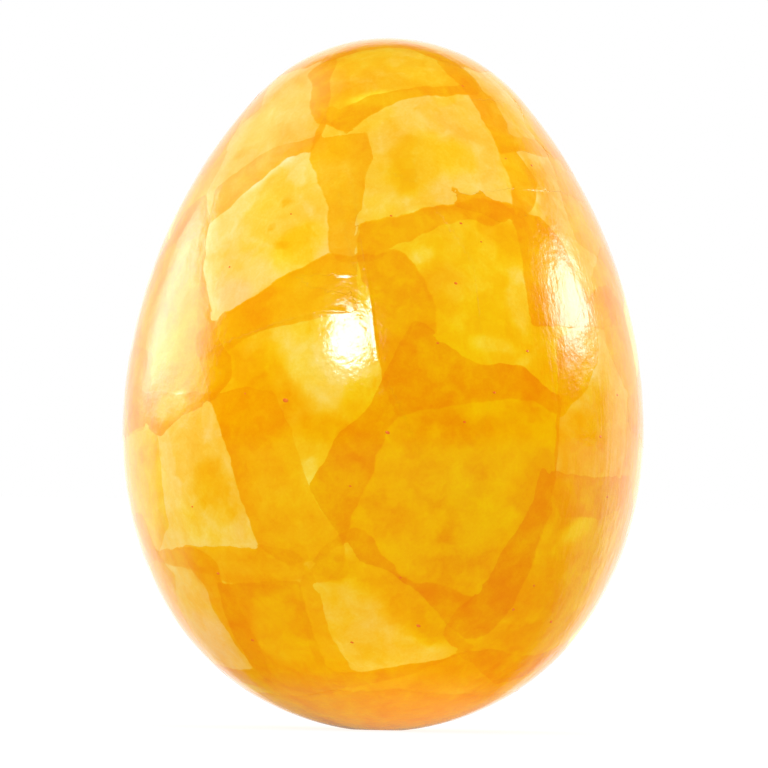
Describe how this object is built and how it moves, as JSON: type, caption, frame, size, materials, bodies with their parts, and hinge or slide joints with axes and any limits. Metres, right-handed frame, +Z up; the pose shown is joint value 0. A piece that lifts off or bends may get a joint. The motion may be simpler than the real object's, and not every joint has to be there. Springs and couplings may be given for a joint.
{
  "type": "decorated egg",
  "caption": "Blown egg covered all over with torn, overlapping sheets of translucent yellow tissue paper under a clear gloss varnish, kept as an ornament.",
  "frame": {"origin": "lowest point of the blunt end, on the egg's long axis", "axes": "+Z up the long axis from the blunt end to the pointed end, -Y towards the pictured front"},
  "size_m": [0.0434, 0.0434, 0.058],
  "materials": {
    "eggshell": "matte white eggshell",
    "membrane": "dry matte skin",
    "tissue_lemon": "translucent lemon-yellow tissue paper under clear gloss varnish",
    "tissue_gold": "translucent golden-yellow tissue paper under clear gloss varnish",
    "tissue_amber": "translucent amber-yellow tissue paper under clear gloss varnish"
  },
  "bodies": {
    "root": {"eggshell": "eggshell", "shell_membrane": "membrane", "tissue_crown_cap": "tissue_gold", "tissue_crown_front": "tissue_lemon", "tissue_crown_right": "tissue_gold", "tissue_shoulder_left": "tissue_lemon", "tissue_shoulder_front": "tissue_lemon", "tissue_shoulder_right": "tissue_gold", "tissue_shoulder_scrap": "tissue_gold", "tissue_chest_left": "tissue_lemon", "tissue_chest_right": "tissue_lemon", "tissue_belly_front": "tissue_lemon", "tissue_belly_left": "tissue_lemon", "tissue_belly_right": "tissue_gold", "tissue_flank_left": "tissue_lemon", "tissue_flank_right": "tissue_amber", "tissue_heel_left": "tissue_lemon", "tissue_heel_front_left": "tissue_gold", "tissue_heel_front": "tissue_lemon", "tissue_heel_right": "tissue_amber", "tissue_base_front": "tissue_gold", "tissue_base_cap": "tissue_gold", "tissue_crown_back_right": "tissue_lemon", "tissue_crown_back_left": "tissue_gold", "tissue_shoulder_back_right": "tissue_gold", "tissue_shoulder_back": "tissue_lemon", "tissue_shoulder_back_left": "tissue_lemon", "tissue_chest_back_right": "tissue_lemon", "tissue_chest_back": "tissue_amber", "tissue_chest_back_left": "tissue_lemon", "tissue_chest_far_left": "tissue_gold", "tissue_flank_back_right": "tissue_gold", "tissue_flank_back": "tissue_lemon", "tissue_flank_back_left": "tissue_amber", "tissue_flank_far_left": "tissue_lemon", "tissue_heel_back_right": "tissue_gold", "tissue_heel_back": "tissue_lemon", "tissue_heel_back_left": "tissue_gold", "tissue_base_back": "tissue_gold"}
  },
  "joints": []
}
